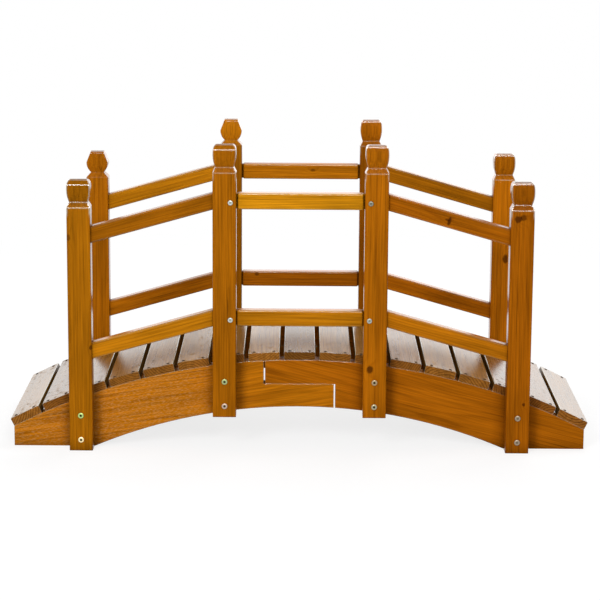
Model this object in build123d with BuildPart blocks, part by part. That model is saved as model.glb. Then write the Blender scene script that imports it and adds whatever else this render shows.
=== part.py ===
# Garden moon bridge: an arched plank deck on two lapped stringers, with a railing of shaped posts on each side.
# X runs along the span, Y across the deck and Z up. The origin is on the ground at the middle of the bridge.
import os
from math import atan2, cos, radians, sin

from build123d import *

# Deck planks
plank_count = 17
plank_width = 82.0
plank_thickness = 22.0
plank_gap = 10.6  # open slot between planks, along the tops of the stringers
plank_edge_radius = 2.0
deck_width = 491.0  # length of a plank, flush with the outer faces of both stringers

# Stringers
stringer_thickness = 40.0
stringer_end_height = 53.0  # height of the upright end
stringer_edge_radius = 2.0  # along the arch
end_slope = 26.0  # fall of the deck at its first and last planks, in degrees
foot_length = 214.0  # flat foot at each end
arch_height = 110.5  # ground to the underside at mid span
lap_length = 185.0  # overlap of the two halves at mid span
lap_depth = 61.5  # depth of the lower tongue at mid span
lap_end_gap = 4.0  # open slot at the end of each lap tongue

# Posts
post_width = 61.0  # along the span
post_depth = 48.0  # across the deck
post_length = 716.5
post_edge_radius = 3.0
inner_post_offset = 196.0  # mid span to the centre of an inner post
end_post_offset = 571.5  # mid span to the centre of an end post
inner_post_foot = 93.0  # ground to the foot of an inner post

# Finials, shaped from the heads of the posts
bulb_height = 58.5
bulb_width = 59.5  # along the span
bulb_depth = 46.5  # across the deck
neck_width = 47.0  # along the span
neck_depth = 34.0  # across the deck
shoulder_height = 14.0
belly_share = 0.46  # level of the fullest part of a round bulb, as a share of its height
corner_width = 58.0  # where the top corners of a round bulb begin, along the span
corner_depth = 41.5  # the same across the deck
wide_corner_drop = 11.0  # top of the bulb down to the corners that are seen from the front
deep_corner_drop = 5.0  # the same for those seen from the side
top_width = 43.0  # along the span
top_depth = 35.0  # across the deck
chamfer_drop = 12.5  # top of a chamfered bulb down to its ridge
chamfer_top_depth = 22.0
dome_height = 1.6  # rise of the top of a bulb from its front edge to its middle
peak_drop = 30.0  # top of a peaked bulb down to its ridge
peak_top_width = 36.0
peak_neck_width = 35.0
swell_share = 0.3  # swell of the face under a ridge, as a share of what it draws in

# Rails
rail_height = 42.0
rail_thickness = 33.0
rail_edge_radius = 4.0
upper_rail_drop = 125.5  # top of an inner post down to the top of the upper rails
lower_rail_drop = 432.5  # the same for the lower rails
end_rail_fall = 89.0  # fall of an end rail from an inner post to an end post
upper_rail_gap = 3.5  # slot between the upper centre rail and a post
lower_rail_gap = 1.5  # the same for the lower one
tongue_depth = 24.0
tongue_height = 39.0
tongue_thickness = 15.0
tongue_clearance = 0.3

overrun = 5.0  # how far cuts and roots run past a face

# Sizes worked out from the values above
end_turn = radians(end_slope)
plank_pitch = end_turn / ((plank_count - 1) / 2)
crown_radius = (plank_width + plank_gap) / plank_pitch
crown_centre = stringer_end_height + plank_width / 2 * sin(end_turn) - crown_radius * cos(end_turn)
crown_height = crown_centre + crown_radius
stringer_reach = crown_radius * sin(end_turn) + plank_width / 2 * cos(end_turn)
arch_reach = stringer_reach - foot_length
lap_height = arch_height + lap_depth
railing_offset = (deck_width + post_depth) / 2
bay_run = end_post_offset - inner_post_offset - post_width
rail_angle = atan2(end_rail_fall, bay_run)
rail_end_height = rail_height / cos(rail_angle)
rail_drops = {"upper": upper_rail_drop, "lower": lower_rail_drop}
rail_gaps = {"upper": upper_rail_gap, "lower": lower_rail_gap}
sides = {"front": -1, "back": 1}
ends = {"left": -1, "right": 1}

os.makedirs("parts", exist_ok=True)


def save(piece, label):
    piece.part.label = label
    export_step(piece.part, f"parts/{label}.step")


def rail_top(drop):
    return inner_post_foot + post_length - drop


# Deck planks, each lying flat on its own seat along the curve
def make_plank(number):
    turn = plank_pitch * (number - (plank_count + 1) / 2)
    seat = Plane(
        origin=(crown_radius * sin(turn), 0, crown_centre + crown_radius * cos(turn)),
        x_dir=(cos(turn), 0, -sin(turn)),
        z_dir=(sin(turn), 0, cos(turn)),
    )
    with BuildPart(seat) as plank:
        Box(plank_width, deck_width, plank_thickness, align=(Align.CENTER, Align.CENTER, Align.MIN))
        fillet(plank.edges().filter_by(Axis.Y), radius=plank_edge_radius)
    save(plank, f"deck_plank_{number:02d}")


# Corners of the stringer's top edge: one flat seat under each plank, broken at the middle of each slot
def crown_corners():
    corner_radius = crown_radius / cos(plank_pitch / 2)
    corners = [(-stringer_reach, stringer_end_height)]
    for slot in range(1, plank_count):
        turn = plank_pitch * (slot - plank_count / 2)
        corners.append((corner_radius * sin(turn), crown_centre + corner_radius * cos(turn)))
    corners.append((stringer_reach, stringer_end_height))
    return corners


# Half a stringer; its tongue lies under the lap or over it, and the other half takes the rest
def make_stringer_half(side, end, tongue_below):
    hand = ends[end]
    face = deck_width / 2 - stringer_thickness if sides[side] < 0 else -deck_width / 2
    tongue_end = (lap_end_gap - lap_length) / 2
    shoulder = (lap_end_gap + lap_length) / 2
    low_limit = hand * (tongue_end if tongue_below else shoulder)
    high_limit = hand * (shoulder if tongue_below else tongue_end)
    beyond = -hand * (stringer_reach + overrun)
    with BuildPart() as half:
        with BuildSketch(Plane.XZ.offset(face)):
            with BuildLine():
                Polyline(*crown_corners())
                Polyline((stringer_reach, stringer_end_height), (stringer_reach, 0), (arch_reach, 0))
                ThreePointArc((arch_reach, 0), (0, arch_height), (-arch_reach, 0))
                Polyline((-arch_reach, 0), (-stringer_reach, 0), (-stringer_reach, stringer_end_height))
            make_face()
        extrude(amount=stringer_thickness)
        with BuildSketch(Plane.XZ.offset(face)):
            with BuildLine():
                Polyline(
                    (low_limit, lap_height),
                    (low_limit, -overrun),
                    (beyond, -overrun),
                    (beyond, crown_height + overrun),
                    (high_limit, crown_height + overrun),
                    (high_limit, lap_height),
                    close=True,
                )
            make_face()
        extrude(amount=stringer_thickness, mode=Mode.SUBTRACT)
        fillet(half.edges().filter_by(GeomType.CIRCLE), radius=stringer_edge_radius)
    save(half, f"{side}_{end}_stringer")


# A post with its finial: the outline of the bulb is cut once from the front and once from the side
def make_post(side, end, place):
    hand = ends[end]
    offset = inner_post_offset if place == "inner" else end_post_offset
    foot = inner_post_foot if place == "inner" else 0
    x, y = hand * offset, sides[side] * railing_offset
    front_view = Plane(origin=(x, y, foot), x_dir=(1, 0, 0), z_dir=(0, -1, 0))
    side_view = Plane(origin=(x, y, foot), x_dir=(0, 1, 0), z_dir=(1, 0, 0))
    neck_level = post_length - bulb_height
    with BuildPart() as post:
        with BuildSketch(Plane.XY.offset(foot)):
            with Locations((x, y)):
                RectangleRounded(post_width, post_depth, post_edge_radius)
        extrude(amount=post_length)
        front_outline, side_outline = finial_cuts[side, end]
        cuts = ((front_view, post_width, front_outline), (side_view, post_depth, side_outline))
        for view, post_size, outline in cuts:
            neck, belly, corner, top = (size / 2 for size in outline[:4])
            corner_level = post_length - outline[4]
            top_level = post_length - dome_height if view is side_view else post_length
            wide = post_size / 2 + overrun
            wide_level = neck_level - shoulder_height * (wide - neck) / (post_size / 2 - neck)
            with BuildSketch(view):
                with BuildLine():
                    Polyline((0, -overrun), (wide, -overrun), (wide, wide_level), (neck, neck_level))
                    if corner < belly:
                        belly_level = neck_level + belly_share * bulb_height
                        flank = ThreePointArc((neck, neck_level), (belly, belly_level), (corner, corner_level))
                        TangentArc((corner, corner_level), (top, top_level), tangent=flank % 1)
                    else:
                        swell = (belly + neck) / 2 + swell_share * (belly - neck)
                        swell_level = (neck_level + corner_level) / 2
                        ThreePointArc((neck, neck_level), (swell, swell_level), (belly, corner_level))
                        Line((belly, corner_level), (top, top_level))
                    if view is side_view:
                        TangentArc((0, post_length), (top, top_level), tangent=(1, 0))
                    else:
                        Line((top, post_length), (0, post_length))
                    mirror(about=Plane.YZ)
                make_face()
            extrude(amount=post_width, both=True, mode=Mode.INTERSECT)
        for drop in rail_drops.values():
            for toward, level in rail_ends_at(place, drop):
                depth = tongue_depth + tongue_clearance
                inset = (post_width - depth + overrun) / 2
                with Locations((x + hand * toward * inset, y, level)):
                    Box(
                        depth + overrun,
                        tongue_thickness + 2 * tongue_clearance,
                        tongue_height + 2 * tongue_clearance,
                        mode=Mode.SUBTRACT,
                    )
    save(post, f"{side}_{end}_{place}_post")


# Outlines of the finials: the sizes at the neck, the bulb, the corner and the top, and the drop to the corner.
# A corner narrower than the bulb is rounded, and one as wide as the bulb is a ridge.
round_front = (neck_width, bulb_width, corner_width, top_width, wide_corner_drop)
round_side = (neck_depth, bulb_depth, corner_depth, top_depth, deep_corner_drop)
chamfer_side = (neck_depth, bulb_depth, bulb_depth, chamfer_top_depth, chamfer_drop)
peak_front = (peak_neck_width, bulb_width, bulb_width, peak_top_width, peak_drop)
finial_cuts = {
    ("front", "left"): (round_front, chamfer_side),
    ("front", "right"): (round_front, round_side),
    ("back", "left"): (peak_front, round_side),
    ("back", "right"): (round_front, round_side),
}


# Where rails enter a post: which way its face looks along the span, and the level of the tongue's middle
def rail_ends_at(place, drop):
    end_rail_level = rail_top(drop) - rail_end_height / 2
    if place == "inner":
        return [(-1, rail_top(drop) - rail_height / 2), (1, end_rail_level)]
    return [(-1, end_rail_level - end_rail_fall)]


# Centre rails stand a little short of the posts, and their tongues cross the slots
def make_centre_rail(side, height):
    reach = inner_post_offset - post_width / 2
    middle = (0, sides[side] * railing_offset, rail_top(rail_drops[height]) - rail_height / 2)
    with BuildPart() as rail:
        with Locations(middle):
            Box(2 * (reach - rail_gaps[height]), rail_thickness, rail_height)
        fillet(rail.edges(), radius=rail_edge_radius)
        with Locations(middle):
            Box(2 * (reach + tongue_depth), tongue_thickness, tongue_height)
    save(rail, f"{side}_centre_{height}_rail")


# End rails fall towards the end posts and butt against both posts
def make_end_rail(side, end, height):
    hand = ends[end]
    y = sides[side] * railing_offset
    top = rail_top(rail_drops[height])
    near, far = inner_post_offset + post_width / 2, end_post_offset - post_width / 2
    with BuildPart() as rail:
        with BuildSketch(Plane.XZ.offset(-y)):
            with BuildLine():
                Polyline(
                    (hand * near, top),
                    (hand * far, top - end_rail_fall),
                    (hand * far, top - end_rail_fall - rail_end_height),
                    (hand * near, top - rail_end_height),
                    close=True,
                )
            make_face()
        extrude(amount=rail_thickness / 2, both=True)
        fillet(rail.edges().group_by(SortBy.LENGTH)[-1], radius=rail_edge_radius)
        for face, inward, fall in ((near, 1, 0), (far, -1, end_rail_fall)):
            middle = hand * (face + inward * (overrun - tongue_depth) / 2)
            with Locations((middle, y, top - fall - rail_end_height / 2)):
                Box(tongue_depth + overrun, tongue_thickness, tongue_height)
    save(rail, f"{side}_{end}_{height}_rail")


for plank_number in range(1, plank_count + 1):
    make_plank(plank_number)
for side in sides:
    for end in ends:
        make_stringer_half(side, end, tongue_below=sides[side] == ends[end])
        for place in ("inner", "end"):
            make_post(side, end, place)
    for height in rail_drops:
        make_centre_rail(side, height)
        for end in ends:
            make_end_rail(side, end, height)
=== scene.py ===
import math

import bpy
import numpy as np
from mathutils import Matrix, Vector


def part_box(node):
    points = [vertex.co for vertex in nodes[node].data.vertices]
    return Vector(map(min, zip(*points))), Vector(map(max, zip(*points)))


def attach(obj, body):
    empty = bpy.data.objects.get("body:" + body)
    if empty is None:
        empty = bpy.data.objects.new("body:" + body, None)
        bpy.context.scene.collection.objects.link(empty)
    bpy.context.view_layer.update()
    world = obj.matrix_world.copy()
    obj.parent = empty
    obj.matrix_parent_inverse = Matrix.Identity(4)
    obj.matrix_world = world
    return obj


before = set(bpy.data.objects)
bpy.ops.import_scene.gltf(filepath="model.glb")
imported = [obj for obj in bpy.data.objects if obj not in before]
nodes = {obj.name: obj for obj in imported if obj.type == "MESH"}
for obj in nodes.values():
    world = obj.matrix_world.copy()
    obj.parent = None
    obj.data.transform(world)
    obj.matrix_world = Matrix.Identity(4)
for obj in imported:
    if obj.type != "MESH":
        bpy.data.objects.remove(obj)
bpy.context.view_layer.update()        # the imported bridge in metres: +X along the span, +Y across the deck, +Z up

print("frame loaded:", len(nodes), "nodes")


# Shader expressions

class Sock:  # wraps a socket; operators on it add Math nodes
    def __init__(self, paint, socket):
        self.paint = paint
        self.socket = socket

    def math(self, operation, *values):
        return self.paint.add("ShaderNodeMath", {"operation": operation}, dict(enumerate(values)))

    def __add__(self, other):
        return self.math("ADD", self, other)

    def __radd__(self, other):
        return self.math("ADD", other, self)

    def __sub__(self, other):
        return self.math("SUBTRACT", self, other)

    def __rsub__(self, other):
        return self.math("SUBTRACT", other, self)

    def __mul__(self, other):
        return self.math("MULTIPLY", self, other)

    def __rmul__(self, other):
        return self.math("MULTIPLY", other, self)

    def __truediv__(self, other):
        return self.math("DIVIDE", self, other)

    def __rtruediv__(self, other):
        return self.math("DIVIDE", other, self)

    def __pow__(self, other):
        return self.math("POWER", self, other)

    def __abs__(self):
        return self.math("ABSOLUTE", self)


class Paint:  # one node tree, of a material or of the world
    noiseRoughness = 0.55
    facingBlend = 0.5

    def __init__(self, owner):
        owner.use_nodes = True
        self.owner = owner
        self.tree = owner.node_tree
        self.tree.nodes.clear()

    # any node: its settings first, then its sockets; out picks the output that comes back
    def add(self, kind, settings=None, sockets=None, out=0):
        node = self.tree.nodes.new(kind)
        for key, value in (settings or {}).items():
            if key == "stops":
                ramp = node.color_ramp.elements
                while len(ramp) < len(value):
                    ramp.new(1)
                for element, (place, shade) in zip(ramp, value):
                    element.position = place
                    element.color = (shade, shade, shade, 1)
            else:
                setattr(node, key, value)
        for key, value in (sockets or {}).items():
            if isinstance(value, Sock):
                self.tree.links.new(value.socket, node.inputs[key])
            else:
                node.inputs[key].default_value = value
        return Sock(self, node.outputs[out]) if len(node.outputs) else node

    def noise(self, place, detail, out=0):
        return self.add("ShaderNodeTexNoise", None, {
            "Vector": place, "Scale": 1.0, "Detail": detail, "Roughness": self.noiseRoughness}, out)

    def step(self, value, low, high):  # smooth rise from 0 at low to 1 at high
        return self.add("ShaderNodeMapRange", {"interpolation_type": "SMOOTHSTEP"},
                        {"Value": value, "From Min": low, "From Max": high})

    def stretch(self, place, factors, shift=(0, 0, 0)):  # place times factors, plus shift
        return self.add("ShaderNodeVectorMath", {"operation": "MULTIPLY_ADD"},
                        {0: place, 1: factors, 2: shift})

    def mix(self, share, first, second):  # from first to second; 6, 7 and 2 are the node's colour sockets
        return self.add("ShaderNodeMix", {"data_type": "RGBA"}, {0: share, 6: first, 7: second}, 2)

    def scale(self, colour, factor):  # a colour made lighter or darker
        return self.add("ShaderNodeVectorMath", {"operation": "SCALE"}, {0: colour, "Scale": factor})

    def split(self, vector):
        return [self.add("ShaderNodeSeparateXYZ", None, {0: vector}, out) for out in range(3)]

    def grazing(self, low, high):  # 0 on faces seen squarely, 1 on faces seen nearly edge on
        facing = self.add("ShaderNodeLayerWeight", None, {"Blend": self.facingBlend}, "Facing")
        return self.step(facing, low, high)


def rgb(red, green, blue):  # a colour as seen on a screen, 0 to 255, as linear values
    shares = np.array([red, green, blue]) / 255
    linear = np.where(shares <= 0.04045, shares / 12.92, ((shares + 0.055) / 1.055) ** 2.4)
    return (*map(float, linear), 1.0)


# Boards

def boardOf(name):
    # axes, middle and half sizes of a board: posts stand upright; other boards lie along the direction
    # in which their outline, seen from the side, spreads most, and planks run across it
    mesh = nodes[name].data
    points = np.empty(len(mesh.vertices) * 3)
    mesh.vertices.foreach_get("co", points)
    points = points.reshape(-1, 3)
    if "post" in name:
        axes = np.eye(3)[[2, 0, 1]]                      # length up, then across and through
    else:
        flat = points[:, [0, 2]] - points[:, [0, 2]].mean(0)
        lean = np.linalg.svd(flat, full_matrices=False)[2][0]
        lean = lean if lean[0] > 0 else -lean
        slope = np.array([lean[0], 0, lean[1]])
        upright = np.array([-lean[1], 0, lean[0]])
        deep = np.array([0, 1.0, 0])
        length, width = (deep, slope) if "plank" in name else (slope, upright)
        axes = np.array([length, width, np.cross(length, width)])
    local = points @ axes.T
    low, high = local.min(0), local.max(0)
    return {"axes": axes, "middle": (low + high) / 2, "half": (high - low) / 2}


# Stained and varnished softwood: growth rings round a pith line, seen wherever a face cuts them

woodLook = {
    "post": {"early": rgb(172, 103, 10), "late": rgb(136, 70, 3), "ringWidth": 0.0082, "ringShare": 0.34,
             "pith": (0.05, 0.06), "pithSpread": (0.02, 0.012), "streak": (70, 0.6), "fleck": 0.0,
             "roughness": 0.30, "coat": 0.9, "coatRoughness": 0.16, "shaftCoat": 0.9, "gleamCoat": 1.0,
             "wear": 0.0, "dullScale": (22, 110, 110), "endTone": 0.8, "endCoat": 1.0,
             "edgeRadius": 0.0042, "section": (0.0305, 0.024), "round": 0.003},
    "rail": {"early": rgb(190, 119, 14), "late": rgb(150, 82, 4), "ringWidth": 0.0058, "ringShare": 0.42,
             "pith": (0.035, 0.05), "pithSpread": (0.02, 0.012), "streak": (85, 0.8), "fleck": 0.0,
             "roughness": 0.30, "coat": 0.85, "coatRoughness": 0.16, "shaftCoat": 1.0, "gleamCoat": 0.0,
             "wear": 0.15, "dullScale": (22, 110, 110), "endTone": 1.0, "endCoat": 0.0,
             "edgeRadius": 0.0014, "section": (0.021, 0.0165), "round": 0.0042},
    "stringer": {"early": rgb(186, 110, 12), "late": rgb(140, 76, 4), "ringWidth": 0.0048,
                 "ringShare": 0.42, "pith": (-0.02, 0.13), "pithSpread": (0.02, 0.012),
                 "streak": (150, 0.75), "fleck": 0.3, "roughness": 0.36, "coat": 0.4,
                 "coatRoughness": 0.3, "shaftCoat": 1.0, "gleamCoat": 0.0, "wear": 0.2,
                 "dullScale": (22, 110, 110), "endTone": 1.0, "endCoat": 0.0,
                 "edgeRadius": 0.0014, "section": None, "round": 0.0},
    "plank": {"early": rgb(144, 104, 42), "late": rgb(106, 70, 22), "ringWidth": 0.0062, "ringShare": 0.5,
              "pith": (0.0, 0.045), "pithSpread": (0.07, 0.022), "streak": (85, 0.9), "fleck": 0.0,
              "roughness": 0.36, "coat": 1.0, "coatRoughness": 0.22, "shaftCoat": 1.0, "gleamCoat": 0.6,
              "wear": 0.75, "dullScale": (60, 70, 70), "endTone": 1.0, "endCoat": 0.0,
              "edgeRadius": 0.0012, "section": (0.041, 0.011), "round": 0.0022},
}
woodShared = {           # three numbers stretch a noise along, across and through; two start and end a rise
    "shiftReach": 50, "raySamples": 4,
    "knotColour": rgb(74, 34, 4), "knotGrain": (160, 160, 160), "knotRag": 0.5, "knotRim": (1.05, 0.55),
    "knotBend": 0.011, "knotReach": (3.2, 0.4),
    "waver": (1.6, 9, 9), "warp": 0.020, "ringWaver": 5, "pithLean": 0.02,
    "ringStops": [(0.0, 0.05), (0.5, 0.2), (0.84, 1.0), (1.0, 0.05)],
    "fibre": (9, 420, 420), "fibreDepth": 1.1, "blotch": (5, 18, 18), "blotchDepth": 0.7,
    "streakLength": 1.4, "thread": (5, 260, 260), "threadSpan": (0.56, 0.74), "threadDark": 0.35,
    "fleck": (110, 620, 620), "fleckSpan": (0.47, 0.66), "fleckFade": (0.24, 0.0),
    "fleckColour": rgb(226, 178, 116),
    "endEarly": rgb(160, 104, 40), "endLate": rgb(86, 46, 10), "endShare": 0.85,
    "endSpan": (0.0012, 0.0006), "headSpan": (0.076, 0.058),     # distances from a board's end
    "shaftSpan": (0.082, 0.10), "wornReach": (0.16, 0.0),
    "wornEnds": 0.10, "wornSpan": (0.55, 0.78),
    # creaseShade: how dark the painted shade in creases is
    "creaseReach": 0.036, "creaseShade": 0.75, "creaseSpan": (0.55, 0.95),
    "edgeSpan": (0.9995, 0.985), "roundShare": 0.7, "railEdge": 0.25,
    "roughFibre": 0.12, "roughBlotch": 0.10, "roughEnd": 0.25,
    "bumpRing": 0.25, "bumpFibre": 0.6, "bumpDepth": 0.0004, "bumpStrength": 0.35,
    "ior": 1.06, "coatIor": 1.5, "coatSpan": (0.45, 0.8),
    "highlightTint": (0.8, 1.4, 1.4),                        # painted tint of the edge highlights, partly the varnish's own colour: red, green and blue against the face's colour
    "gleamIor": 2.2, "gleamRoughness": 0.13, "gleamCoatIor": 2.5, "gleamCoatRoughness": 0.11,
}
pieceToneAndShade = {            # how light each board is, and how yellow: partly each board's own tone, partly painted light and shade, as on the back inner posts darkened for the shade of the front ones
    "front_left_end_post": (1.0, 1.05), "front_left_inner_post": (0.99, 0.97),
    "front_right_inner_post": (1.06, 0.92), "front_right_end_post": (0.96, 0.86),
    "back_left_end_post": (1.05, 0.95), "back_left_inner_post": (0.82, 1.03),
    "back_right_inner_post": (0.78, 0.9), "back_right_end_post": (1.48, 0.92),
    "front_centre_upper_rail": (1.35, 1.14), "front_centre_lower_rail": (1.0, 1.02),
    "front_left_upper_rail": (0.77, 0.9), "front_left_lower_rail": (1.06, 1.02),
    "front_right_upper_rail": (0.77, 0.79), "front_right_lower_rail": (1.04, 0.92),
    "back_centre_upper_rail": (1.04, 0.94), "back_centre_lower_rail": (1.0, 0.83),
    "back_left_upper_rail": (1.11, 1.04), "back_left_lower_rail": (0.91, 0.87),
    "back_right_upper_rail": (0.8, 0.95), "back_right_lower_rail": (1.0, 0.82),
    "front_left_stringer": (1.14, 1.02), "front_right_stringer": (0.9, 0.91),
    "back_left_stringer": (1.0, 0.95), "back_right_stringer": (1.05, 0.98),
    "deck_plank_02": (0.8, 0.95), "deck_plank_04": (0.92, 1.0), "deck_plank_05": (0.86, 1.0),
    "deck_plank_07": (0.88, 0.97), "deck_plank_08": (1.1, 1.0), "deck_plank_09": (0.56, 0.98),
    "deck_plank_10": (0.95, 1.0), "deck_plank_12": (0.86, 0.95), "deck_plank_13": (1.05, 1.0),
    "deck_plank_15": (0.85, 0.92), "deck_plank_16": (0.84, 0.9), "deck_plank_17": (1.02, 0.95),
}
finialToneAndShade = {           # how light each post head is, against its shaft: partly its own tone, partly painted light and shade
    "front_left_end_post": 0.74, "front_right_inner_post": 1.02, "front_right_end_post": 0.84,
    "back_left_end_post": 1.0, "back_left_inner_post": 1.75, "back_right_inner_post": 1.4,
    "back_right_end_post": 0.72,
}
finialGleam = {          # how bright the edges of each post head are
    "front_left_end_post": 1.0, "front_left_inner_post": 0.6, "front_right_inner_post": 0.55,
    "front_right_end_post": 0.85, "back_left_end_post": 0.12, "back_left_inner_post": 0.12,
    "back_right_inner_post": 0.6, "back_right_end_post": 0.9,
}
pieceWear = {"deck_plank_09": 0.2, "deck_plank_16": 0.4, "deck_plank_17": 0.0}   # share of the usual wear
pieceStreak = {"front_right_stringer": 0.5}              # share of the usual streaks
pieceCoat = {"back_centre_upper_rail": 0.25}             # share of the usual varnish
pieceKnots = {           # along, across, half length, half width and depth of each knot
    "front_left_end_post": [(0.2085, -0.027, 0.011, 0.007, 0.6), (-0.081, 0.028, 0.008, 0.005, 0.8)],
    "front_left_inner_post": [(-0.063, 0.009, 0.030, 0.0022, 0.5)],
    "front_right_upper_rail": [(0.0, -0.003, 0.0055, 0.013, 0.85), (-0.006, -0.001, 0.007, 0.003, 0.6)],
    "back_centre_upper_rail": [(0.034, 0.005, 0.008, 0.005, 0.6)],
    "back_centre_lower_rail": [(-0.1225, 0.0137, 0.008, 0.006, 0.7)],
    "front_right_inner_post": [(-0.228, -0.0128, 0.012, 0.0105, 0.85)],
    "front_right_end_post": [(0.264, -0.012, 0.011, 0.011, 0.85), (0.268, 0.002, 0.010, 0.010, 0.7),
                             (-0.2265, 0.0148, 0.006, 0.005, 0.8)],
    "back_right_end_post": [(0.061, 0.0084, 0.015, 0.009, 0.8)],
}


def kindOf(name):  # post, rail, stringer or plank
    return next(word for word in woodLook if word in name)


def stainedWood(name, board, look, seed):
    shared = woodShared
    draw = np.random.default_rng(seed)
    paint = Paint(bpy.data.materials.new("wood_" + name))
    turn = Matrix(board["axes"].tolist())
    place = paint.add("ShaderNodeTexCoord", out="Object")
    local = paint.add("ShaderNodeMapping", {"vector_type": "POINT"}, {
        "Vector": place, "Rotation": turn.to_euler("XYZ"), "Location": tuple(-board["middle"])})
    along, across, through = paint.split(local)
    shift = tuple(draw.uniform(-shared["shiftReach"], shared["shiftReach"], 3))
    halfLength = float(board["half"][0])

    def grain(factors, detail, out=0):  # noise stretched along the board
        return paint.noise(paint.stretch(local, factors, shift), detail, out)

    def swing(noise, depth):  # to either side of 0
        return (noise - 0.5) * depth

    def fromEnd(value, span):  # rise between two distances from the board's end
        return paint.step(value, halfLength - span[0], halfLength - span[1])

    # knots: flattened rounds that bend the rings about them
    knotted, pushed = 0.0, 0.0
    for knotAlong, knotAcross, knotLength, knotWidth, depth in pieceKnots.get(name, []):
        awayA = (along - knotAlong) / knotLength
        awayB = (across - knotAcross) / knotWidth
        ragged = grain(shared["knotGrain"], detail=1.0)
        away = (awayA * awayA + awayB * awayB) ** 0.5 + swing(ragged, shared["knotRag"])
        knotted = knotted + paint.step(away, *shared["knotRim"]) * depth
        pushed = pushed + paint.step(away, *shared["knotReach"]) * shared["knotBend"]

    # rings: distance from a wavering pith line, counted in ring widths
    waverA, waverB, waverC = paint.split(grain(shared["waver"], detail=2.0, out="Color"))
    spreadA, spreadB = look["pithSpread"]
    pithA = float(look["pith"][0] + draw.uniform(-spreadA, spreadA))
    pithB = float(look["pith"][1] * draw.choice([-1, 1]) + draw.uniform(-spreadB, spreadB))
    leanA, leanB = draw.uniform(-shared["pithLean"], shared["pithLean"], 2)
    offA = across - pithA + along * float(leanA) + swing(waverA, shared["warp"]) + pushed
    offB = through - pithB + along * float(leanB) + swing(waverB, shared["warp"])
    radius = (offA * offA + offB * offB) ** 0.5
    count = radius / look["ringWidth"] + swing(waverC, shared["ringWaver"])
    late = paint.add("ShaderNodeValToRGB", {"stops": shared["ringStops"]},
                     {"Fac": count.math("FRACT", count)})

    # fibres along the board, blotches of stain, broad streaks and dark threads
    fibre = grain(shared["fibre"], detail=3.0)
    blotch = grain(shared["blotch"], detail=2.0)
    fineness, streakDepth = look["streak"]
    streak = grain((shared["streakLength"], fineness, fineness), detail=2.0)
    tone = 1 + swing(fibre, shared["fibreDepth"]) + swing(blotch, shared["blotchDepth"])
    tone = tone + swing(streak, streakDepth) * pieceStreak.get(name, 1.0)
    thread = paint.step(grain(shared["thread"], detail=2.0), *shared["threadSpan"])
    tone = tone * (1 - thread * shared["threadDark"])
    # post heads lighter or darker than their shafts: partly own tone, partly painted light and shade
    if name in finialToneAndShade:
        tone = tone * (1 + fromEnd(along, shared["headSpan"]) * (finialToneAndShade[name] - 1))

    # face and cut-end colours, toned for each board with its own tone and with painted light and shade, then its
    # knots
    endCut = fromEnd(abs(along), shared["endSpan"])
    colour = paint.mix(late * look["ringShare"], look["early"], look["late"])
    endColour = paint.mix(late * shared["endShare"], shared["endEarly"], shared["endLate"])
    endColour = paint.scale(endColour, look["endTone"])
    # each board's own tone, with painted light and shade folded in
    light, yellow = pieceToneAndShade.get(name, (1.0, 1.0))
    colour = paint.scale(paint.mix(endCut, colour, endColour), tone)
    colour = paint.stretch(colour, (light, light * yellow, light * yellow))
    if name in pieceKnots:
        colour = paint.mix(knotted, colour, shared["knotColour"])
    if look["fleck"] and "left" in name:                 # pale flecks of open grain towards the left foot
        fleck = paint.step(grain(shared["fleck"], detail=1.0), *shared["fleckSpan"])
        fleck = fleck * paint.step(along, *shared["fleckFade"])
        colour = paint.mix(fleck * look["fleck"], colour, shared["fleckColour"])

    # dull places in the varnish, more of them towards the ends of a board
    towardEnd = fromEnd(abs(along), shared["wornReach"])
    dull = grain(look["dullScale"], detail=3.0) + towardEnd * shared["wornEnds"]
    worn = paint.step(dull, *shared["wornSpan"]) * look["wear"] * pieceWear.get(name, 1.0)

    # painted shade: colour darkened in creases and beside neighbouring parts, by how open each spot is; the same
    # openness damps the varnish and its gleam there
    openness = paint.add("ShaderNodeAmbientOcclusion", {"samples": shared["raySamples"]},
                         {"Distance": shared["creaseReach"]}, "AO")
    colour = paint.scale(colour, 1 - (1 - openness) * shared["creaseShade"])

    # edges are slightly rounded, and the varnish gleams on them; under the gleam the colour is tinted yellower,
    # partly the varnish's own colour and partly a painted tint of the highlights
    rounded = paint.add("ShaderNodeBevel", {"samples": shared["raySamples"]},
                        {"Radius": look["edgeRadius"]})
    square = paint.add("ShaderNodeNewGeometry", out="Normal")
    likeness = paint.add("ShaderNodeVectorMath", {"operation": "DOT_PRODUCT"},
                         {0: rounded, 1: square}, "Value")
    edge = paint.step(likeness, *shared["edgeSpan"])
    if look["section"]:
        rims = [paint.step(abs(way), half - look["round"], half - look["round"] * shared["roundShare"])
                for way, half in zip((across, through), look["section"])]
        edge = edge.math("MAXIMUM", edge, rims[0] * rims[1])
    shaft = 0.0
    if kindOf(name) == "post":
        shaft = fromEnd(along, shared["shaftSpan"])      # the plain length below the finial
        edge = edge * (1 - shaft) * finialGleam[name]
    if kindOf(name) == "rail":
        edge = edge * shared["railEdge"]
    edge = edge * paint.step(openness, *shared["creaseSpan"])

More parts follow.
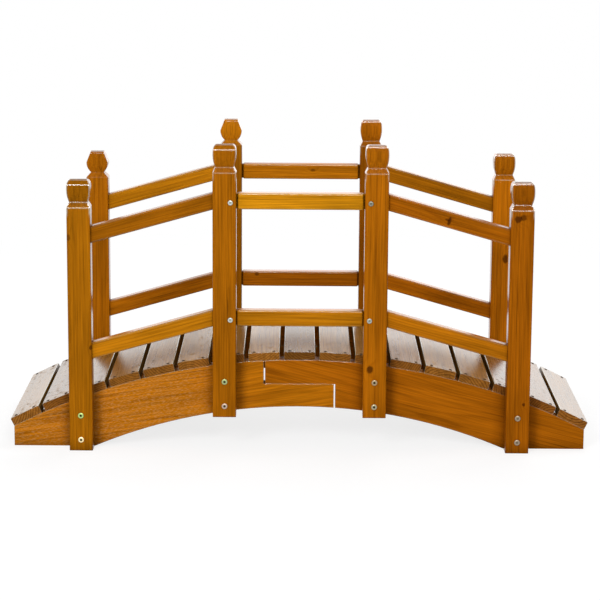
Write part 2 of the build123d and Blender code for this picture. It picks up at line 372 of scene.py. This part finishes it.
    rough = look["roughness"] + swing(fibre, shared["roughFibre"]) + swing(blotch, shared["roughBlotch"])
    rough = rough + endCut * shared["roughEnd"]
    bump = paint.add("ShaderNodeBump", None, {
        "Height": late * shared["bumpRing"] + fibre * shared["bumpFibre"], "Distance": shared["bumpDepth"],
        "Strength": shared["bumpStrength"], "Normal": rounded})
    coat = paint.grazing(*shared["coatSpan"]) * look["coat"] * pieceCoat.get(name, 1.0)
    coat = coat * (1 - endCut * (1 - look["endCoat"])) * (1 - worn) * openness
    coat = coat * (1 - shaft * (1 - look["shaftCoat"]))
    face = paint.add("ShaderNodeBsdfPrincipled", None, {
        "Base Color": colour, "Roughness": rough, "Normal": bump, "IOR": shared["ior"],
        "Coat Weight": coat, "Coat Roughness": look["coatRoughness"], "Coat IOR": shared["coatIor"]})
    # the gleam's base colour carries the painted tint of the highlights
    gleam = paint.add("ShaderNodeBsdfPrincipled", None, {
        "Base Color": paint.stretch(colour, shared["highlightTint"]), "Roughness": shared["gleamRoughness"],
        "Normal": bump, "IOR": shared["gleamIor"], "Coat Weight": openness * look["gleamCoat"],
        "Coat Roughness": shared["gleamCoatRoughness"], "Coat IOR": shared["gleamCoatIor"]})
    shader = paint.add("ShaderNodeMixShader", None, {0: edge, 1: face, 2: gleam})
    paint.add("ShaderNodeOutputMaterial", None, {"Surface": shader})
    return paint.owner


firstSeed = 100          # each board's grain is drawn from its own number

for number, name in enumerate(sorted(nodes)):
    wood = stainedWood(name, boardOf(name), woodLook[kindOf(name)], firstSeed + number)
    nodes[name].data.materials.clear()
    nodes[name].data.materials.append(wood)
print("timber stained:", len(nodes), "boards")


# Fasteners: closed turned shapes, copied to their places

def turned(radii, heights):
    # point = (radius * cos angle, radius * sin angle, height) on a grid of profile step by angle,
    # and one more point on the axis closes each end
    steps, corners = radii.shape
    angle = np.arange(corners) * 2 * np.pi / corners
    rings = np.stack([radii * np.cos(angle), radii * np.sin(angle), heights], -1).reshape(-1, 3)
    points = np.vstack([[[0, 0, heights[0, 0]]], rings, [[0, 0, heights[-1, 0]]]])
    here = 1 + np.arange(steps * corners).reshape(steps, corners)
    beside = np.roll(here, -1, 1)
    sides = np.stack([here[:-1], beside[:-1], beside[1:], here[1:]], -1).reshape(-1, 4)
    base = np.stack([np.zeros(corners, int), beside[0], here[0]], -1)
    cap = np.stack([np.full(corners, len(points) - 1), here[-1], beside[-1]], -1)
    return points, sides, np.vstack([base, cap])


def hexagon(corners, flat):
    # radius by angle: half the width across flats over the cosine of the angle from the middle
    # of the nearest flat
    angle = np.arange(corners) * 2 * np.pi / corners
    return flat / np.cos(np.mod(angle, np.pi / 3) - np.pi / 6)


def cross(corners, reach, width, twist):
    # radius by angle of two bars, the farther of them: a bar ends where its half length over the cosine
    # or its half width over the sine comes first
    angle = np.arange(corners) * 2 * np.pi / corners + twist
    cosine, sine = np.abs(np.cos(angle)), np.abs(np.sin(angle))
    level = np.minimum(reach / cosine, width / sine)
    upright = np.minimum(reach / sine, width / cosine)
    return np.maximum(level, upright)


def profile(corners, rows):
    # rows of (radius, height) carried round the axis; a radius may be one number or one for each angle
    radii = np.array([np.broadcast_to(radius, corners) for radius, height in rows])
    heights = np.array([np.full(corners, height) for radius, height in rows])
    return turned(radii, heights)


def headOf(look, opening, scale=1.0):
    # a screw or bolt head: its rim, a dome in shares of radius and height, then the hollow for the tool
    # in shares of its opening's outline and the height, with the painted shade of each row, darker in the hollow
    radius, height = look["radius"] * scale, look["height"] * scale
    rows = [(radius, -look["embed"])]
    rows += [(radius * out, height * up) for out, up in look["dome"]]
    rows += [(opening * out, height * up) for out, up, shade in look["hollow"]]
    shades = [0.0] * (1 + len(look["dome"])) + [shade for out, up, shade in look["hollow"]]
    shadeMarks = np.concatenate([[0], np.repeat(shades, look["corners"]), [1]])
    return profile(look["corners"], rows), shadeMarks


def copies(shape, shadeMarks, spots, tints, shadeShares=(1.0,)):
    # place + x * sideways + y * third + z * outward, for every point of the shape at every spot;
    # a spot is (place, outward axis, sideways axis)
    points, quads, triangles = shape
    places, outward, sideways = (np.array(part, float) for part in zip(*spots))
    third = np.cross(outward, sideways)
    spread = (places[:, None] + points[None, :, 0:1] * sideways[:, None]
              + points[None, :, 1:2] * third[:, None] + points[None, :, 2:3] * outward[:, None])
    first = np.arange(len(spots))[:, None, None] * len(points)       # number of each copy's first point
    # the painted shade of the hollows, scaled for each copy
    return {"points": spread.reshape(-1, 3), "quads": (quads + first).reshape(-1, 4),
            "triangles": (triangles + first).reshape(-1, 3), "tints": np.repeat(tints, len(points), 0),
            "shadeMarks": np.outer(np.resize(shadeShares, len(spots)), shadeMarks).ravel()}


zincLook = {"mottle": (700, 700, 700), "mottleLow": 0.85, "mottleDepth": 0.3, "paintedShadeDepth": 0.9,
            "brightSpan": (0.05, 0.2), "metallic": 0.9, "recessMetallic": 0.6, "roughness": 0.34,
            "mottleRough": 0.12, "dullRough": 0.4, "ior": 1.15, "sharpAngle": 35}


def makeMetal():  # zinc in each fastener's own tint, mottled, with painted shade darkening the recesses; dark tints are dull
    look = zincLook
    paint = Paint(bpy.data.materials.new("zinc"))
    tint = paint.add("ShaderNodeAttribute", {"attribute_name": "tint"}, out="Color")
    level = paint.add("ShaderNodeAttribute", {"attribute_name": "tint"}, out="Fac")
    shadeMarks = paint.add("ShaderNodeAttribute", {"attribute_name": "recess"}, out="Fac")
    place = paint.add("ShaderNodeTexCoord", out="Object")
    mottle = paint.noise(paint.stretch(place, look["mottle"]), detail=2.0)
    # mottle, and painted shade darkening the recesses
    shade = (look["mottleLow"] + mottle * look["mottleDepth"]) * (1 - shadeMarks * look["paintedShadeDepth"])
    bright = paint.step(level, *look["brightSpan"])
    dulled = paint.step(level, *reversed(look["brightSpan"]))
    shader = paint.add("ShaderNodeBsdfPrincipled", None, {
        "Base Color": paint.scale(tint, shade), "IOR": look["ior"],
        "Metallic": bright * (look["metallic"] - shadeMarks * look["recessMetallic"]),
        "Roughness": look["roughness"] + mottle * look["mottleRough"] + dulled * look["dullRough"]})
    paint.add("ShaderNodeOutputMaterial", None, {"Surface": shader})
    return paint.owner


zinc = makeMetal()


def fit(name, parts):  # one piece from several sets of copies
    first = np.cumsum([0] + [len(part["points"]) for part in parts])
    faces = []
    for key in ("quads", "triangles"):
        faces += np.vstack([part[key] + start for part, start in zip(parts, first)]).tolist()
    points, tints, shadeMarks = (np.concatenate([part[key] for part in parts])
                           for key in ("points", "tints", "shadeMarks"))
    tints = np.hstack([tints, np.ones((len(tints), 1))]).astype("f").ravel()
    mesh = bpy.data.meshes.new(name)
    mesh.from_pydata(points.tolist(), [], faces)
    mesh.attributes.new("recess", "FLOAT", "POINT").data.foreach_set("value", shadeMarks.astype("f"))
    mesh.attributes.new("tint", "FLOAT_COLOR", "POINT").data.foreach_set("color", tints)
    mesh.shade_smooth()
    mesh.set_sharp_from_angle(angle=math.radians(zincLook["sharpAngle"]))
    mesh.materials.append(zinc)
    piece = bpy.data.objects.new(name, mesh)
    bpy.context.scene.collection.objects.link(piece)
    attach(piece, "root")


boltLook = {"radius": 0.0076, "height": 0.0026, "socket": 0.0031, "embed": 0.0005, "corners": 36,
            "dome": ((1.0, 0.45), (0.94, 0.8), (0.82, 1.0)),
            # third number of each hollow row: its painted shade
            "hollow": ((1.25, 1.0, 0.0), (1.0, 0.96, 0.3), (0.96, 0.25, 1.0), (0.4, 0.15, 1.0)),
            "endColumn": 0.5715, "endRows": (0.0945, 0.0293),
            "innerColumn": 0.1955, "innerRows": (0.188, 0.1226),
            "railColumn": 0.1805, "railRows": (0.6602, 0.3526), "railScale": 0.88}
zincTints = {"silver": rgb(191, 195, 188), "green": rgb(181, 209, 128), "yellow": rgb(251, 233, 181),
             "sage": rgb(171, 183, 128), "rose": rgb(194, 172, 152), "dun": rgb(158, 142, 120),
             "brown": rgb(172, 151, 117), "drab": rgb(174, 165, 133), "pewter": rgb(137, 137, 124),
             "grey": rgb(169, 173, 163)}
boltTints = ("green", "yellow", "sage", "rose", "dun", "dun", "brown", "drab")
boltSocketShade = (1.0, 1.0, 1.0, 1.0, 0.5, 0.5, 1.0, 1.0)    # how much painted shade each socket gets
railTints = ("silver", "silver", "pewter", "grey")
railSocketShade = (0.45,)                                     # alike on every small head


def makeBolts():  # heads on the outer faces of the posts: two at each foot, smaller ones beside the rails
    look = boltLook
    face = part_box("back_left_end_post")[1][1]        # how far out the posts' outer faces lie
    large, small = [], []
    for side in (-1, 1):
        outward = (0, side, 0)
        for hand in (-1, 1):
            for column, rows, group in ((look["endColumn"], look["endRows"], large),
                                        (look["innerColumn"], look["innerRows"], large),
                                        (look["railColumn"], look["railRows"], small)):
                group += [((hand * column, side * face, row), outward, (hand, 0, 0)) for row in rows]
    parts = []
    for spots, scale, names, shadeShares in ((large, 1.0, boltTints, boltSocketShade),
                                        (small, look["railScale"], railTints, railSocketShade)):
        socket = hexagon(look["corners"], look["socket"] * scale)
        tints = np.array([zincTints[names[number % len(names)]][:3] for number in range(len(spots))])
        parts.append(copies(*headOf(look, socket, scale), spots, tints, shadeShares))
    fit("bolt_heads", parts)
    return large


# the last list is the painted shade of each turned row, at the joint of nut and washer and at the stud's root
nutLook = {"washer": 0.009, "washerHeight": 0.0014, "washerEdge": (0.96, 0.7),
           "flat": 0.0065, "height": 0.0055, "crown": 0.98, "chamfer": 0.0009,
           "stud": 0.0039, "studHeight": 0.0095, "studRoot": 1.1, "studTip": (0.82, 0.0006),
           "embed": 0.0004, "corners": 36, "shadeMarks": (0, 0, 0, 0.2, 0, 0, 0.5, 0.5, 0, 0)}


def makeNuts(spots):
    # a washer, a nut and the bolt's end, turned as one, on the inner face of the stringer behind each head
    look = nutLook
    base, top = look["washerHeight"], look["washerHeight"] + look["height"]
    rim = hexagon(look["corners"], look["flat"])
    edge, edgeLevel = look["washerEdge"]
    tip, tipDrop = look["studTip"]
    washer, stud, studTop = look["washer"], look["stud"], look["studHeight"]
    rows = [(washer, -look["embed"]), (washer, base * edgeLevel), (washer * edge, base),
            (rim, base), (rim, top - look["chamfer"]), (look["flat"] * look["crown"], top),
            (stud * look["studRoot"], top), (stud, top), (stud, studTop - tipDrop), (stud * tip, studTop)]
    shadeMarks = np.concatenate([[0], np.repeat(look["shadeMarks"], look["corners"]), [0]])
    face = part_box("back_left_stringer")[0][1]        # how far out the stringers' inner faces lie
    inside = [((place[0], outward[1] * face, place[2]), (0, -outward[1], 0), sideways)
              for place, outward, sideways in spots]
    tints = np.array([zincTints["grey"][:3]] * len(inside))
    fit("nuts", [copies(profile(look["corners"], rows), shadeMarks, inside, tints)])


screwLook = {"radius": 0.0042, "height": 0.0011, "embed": 0.0004, "corners": 48,
             "dome": ((1.0, 0.3), (0.9, 0.8), (0.75, 1.0)),
             # third number of each hollow row: its painted shade
             "hollow": ((1.04, 1.0, 0.2), (0.9, 0.25, 1.0), (0.4, 0.2, 1.0)),
             "arm": 0.0026, "armWidth": 0.0008, "twist": 0.05, "endInset": 0.012, "edgeInset": 0.015,
             "tint": rgb(64, 46, 30)}
paleScrews = {"deck_plank_16": rgb(88, 72, 54), "deck_plank_17": rgb(98, 82, 64)}


def makeScrews():  # two heads at each end of every plank, square to its slope
    look = screwLook
    arms = cross(look["corners"], look["arm"], look["armWidth"], look["twist"])
    spots, tints = [], []
    for name in sorted(nodes):
        if "plank" not in name:
            continue
        board = boardOf(name)
        deep, slope, normal = board["axes"]
        centre = board["middle"] @ board["axes"]
        outward = normal if normal[2] > 0 else -normal
        for endSign in (-1, 1):
            for edgeSign in (-1, 1):
                spot = (centre + deep * endSign * (board["half"][0] - look["endInset"])
                        + slope * edgeSign * (board["half"][1] - look["edgeInset"])
                        + outward * board["half"][2])
                spots.append((spot, outward, slope))
                tints.append(paleScrews.get(name, look["tint"])[:3])
    fit("plank_screws", [copies(*headOf(look, arms), spots, np.array(tints))])


makeNuts(makeBolts())
makeScrews()
print("bolts, nuts and screws fitted")


# Floor, world and lamps

floorLook = {"reach": 40.0, "glow": 0.80, "level": 0.25, "bounce": 0.42, "whitening": (1.3, 3.0)}
white = (1, 1, 1, 1)


def seenRays(paint):  # 1 for rays that look at the floor or sky, 0 for rays that gather its light
    seen, mirrored, through = (paint.add("ShaderNodeLightPath", out="Is " + kind + " Ray")
                               for kind in ("Camera", "Glossy", "Transmission"))
    return seen.math("MAXIMUM", seen.math("MAXIMUM", seen, mirrored), through)


def makeFloor():  # glows nearly white and keeps the shadow near the bridge, and is plain white far from it
    look = floorLook
    reach = look["reach"]
    mesh = bpy.data.meshes.new("floor")
    mesh.from_pydata([(-reach, -reach, 0), (reach, -reach, 0), (reach, reach, 0), (-reach, reach, 0)], [],
                     [(0, 1, 2, 3)])
    floor = bpy.data.objects.new("floor", mesh)
    bpy.context.scene.collection.objects.link(floor)
    paint = Paint(bpy.data.materials.new("floorWhite"))
    place = paint.add("ShaderNodeTexCoord", out="Object")
    away = paint.add("ShaderNodeVectorMath", {"operation": "LENGTH"}, {0: place}, "Value")
    glow = paint.add("ShaderNodeEmission", None, {"Color": white, "Strength": look["glow"]})
    lit = paint.add("ShaderNodeBsdfDiffuse", None, {"Color": (look["level"],) * 3 + (1,)})
    near = paint.add("ShaderNodeAddShader", None, {0: glow, 1: lit})
    far = paint.add("ShaderNodeEmission", None, {"Color": white, "Strength": 1.0})
    whitened = paint.step(away, *look["whitening"])
    shown = paint.add("ShaderNodeMixShader", None, {0: whitened, 1: near, 2: far})
    bounce = paint.add("ShaderNodeBsdfDiffuse", None, {"Color": (look["bounce"],) * 3 + (1,)})
    surface = paint.add("ShaderNodeMixShader", None, {0: seenRays(paint), 1: bounce, 2: shown})
    paint.add("ShaderNodeOutputMaterial", None, {"Surface": surface})
    mesh.materials.append(paint.owner)


makeFloor()

worldLook = {"sky": 0.32}


def makeWorld():  # white where it is seen, dimmer where it lights
    world = bpy.data.worlds.new("studio")
    bpy.context.scene.world = world
    paint = Paint(world)
    light = paint.add("ShaderNodeBackground", None, {
        "Color": white, "Strength": seenRays(paint) * (1 - worldLook["sky"]) + worldLook["sky"]})
    paint.add("ShaderNodeOutputWorld", None, {"Surface": light})


makeWorld()

lamps = {                # each lights faces (diffuse), shows in the varnish and metal (glossy), or both
    "keyLamp": {"place": (-2.1, -4.6, 3.0), "size": (1.8, 1.8), "power": 135,
                "diffuse": True, "glossy": False},
    "fillLamp": {"place": (1.1, -5.2, 2.5), "size": (1.8, 1.8), "power": 68,
                 "diffuse": True, "glossy": False},
    "topLamp": {"place": (1.2, 1.6, 4.2), "size": (2.2, 2.2), "power": 60,
                "diffuse": True, "glossy": True},
    "backLamp": {"place": (1.3, 5.0, 1.0), "size": (4.4, 1.7), "power": 17.5,
                 "diffuse": True, "glossy": True},
    "leftBackLamp": {"place": (-2.6, 5.0, 1.0), "size": (3.2, 1.7), "power": 8.5,
                     "diffuse": True, "glossy": True},
    "backFill": {"place": (0.0, 5.0, 2.2), "size": (2.4, 1.8), "power": 60,
                 "diffuse": True, "glossy": False},
    "gleamLamp": {"place": (0.0, -4.3, 3.5), "size": (2.3, 1.3), "power": 260,
                  "diffuse": False, "glossy": True},
}
lampAim = Vector((0, 0, 0.4))


def makeLamps():
    for name, look in lamps.items():
        data = bpy.data.lights.new(name, "AREA")
        data.energy = look["power"]
        data.shape = "RECTANGLE"
        data.size, data.size_y = look["size"]
        lamp = bpy.data.objects.new(name, data)
        lamp.location = look["place"]
        lamp.rotation_euler = (lampAim - lamp.location).to_track_quat("-Z", "Y").to_euler()
        lamp.visible_diffuse = look["diffuse"]
        lamp.visible_glossy = look["glossy"]
        lamp.visible_camera = False
        bpy.context.scene.collection.objects.link(lamp)


makeLamps()
print("floor, world and lamps set")


# Camera, a little above the railing and square to the span

cameraLook = {"place": (0.0, -5.8648, 1.5494), "down": 0.2022, "roll": 0.0068, "focalPixels": 2197.3,
              "imageWidth": 600, "sensor": 36.0}


def makeCamera():
    look = cameraLook
    data = bpy.data.cameras.new("camera")
    data.sensor_width = look["sensor"]
    data.lens = look["focalPixels"] / look["imageWidth"] * look["sensor"]
    camera = bpy.data.objects.new("camera", data)
    aim = Matrix.Rotation(math.pi / 2 - look["down"], 4, "X") @ Matrix.Rotation(look["roll"], 4, "Z")
    camera.matrix_world = Matrix.Translation(look["place"]) @ aim
    bpy.context.scene.collection.objects.link(camera)
    bpy.context.scene.camera = camera


makeCamera()
bpy.context.scene.view_settings.view_transform = "Standard"
print("camera set")
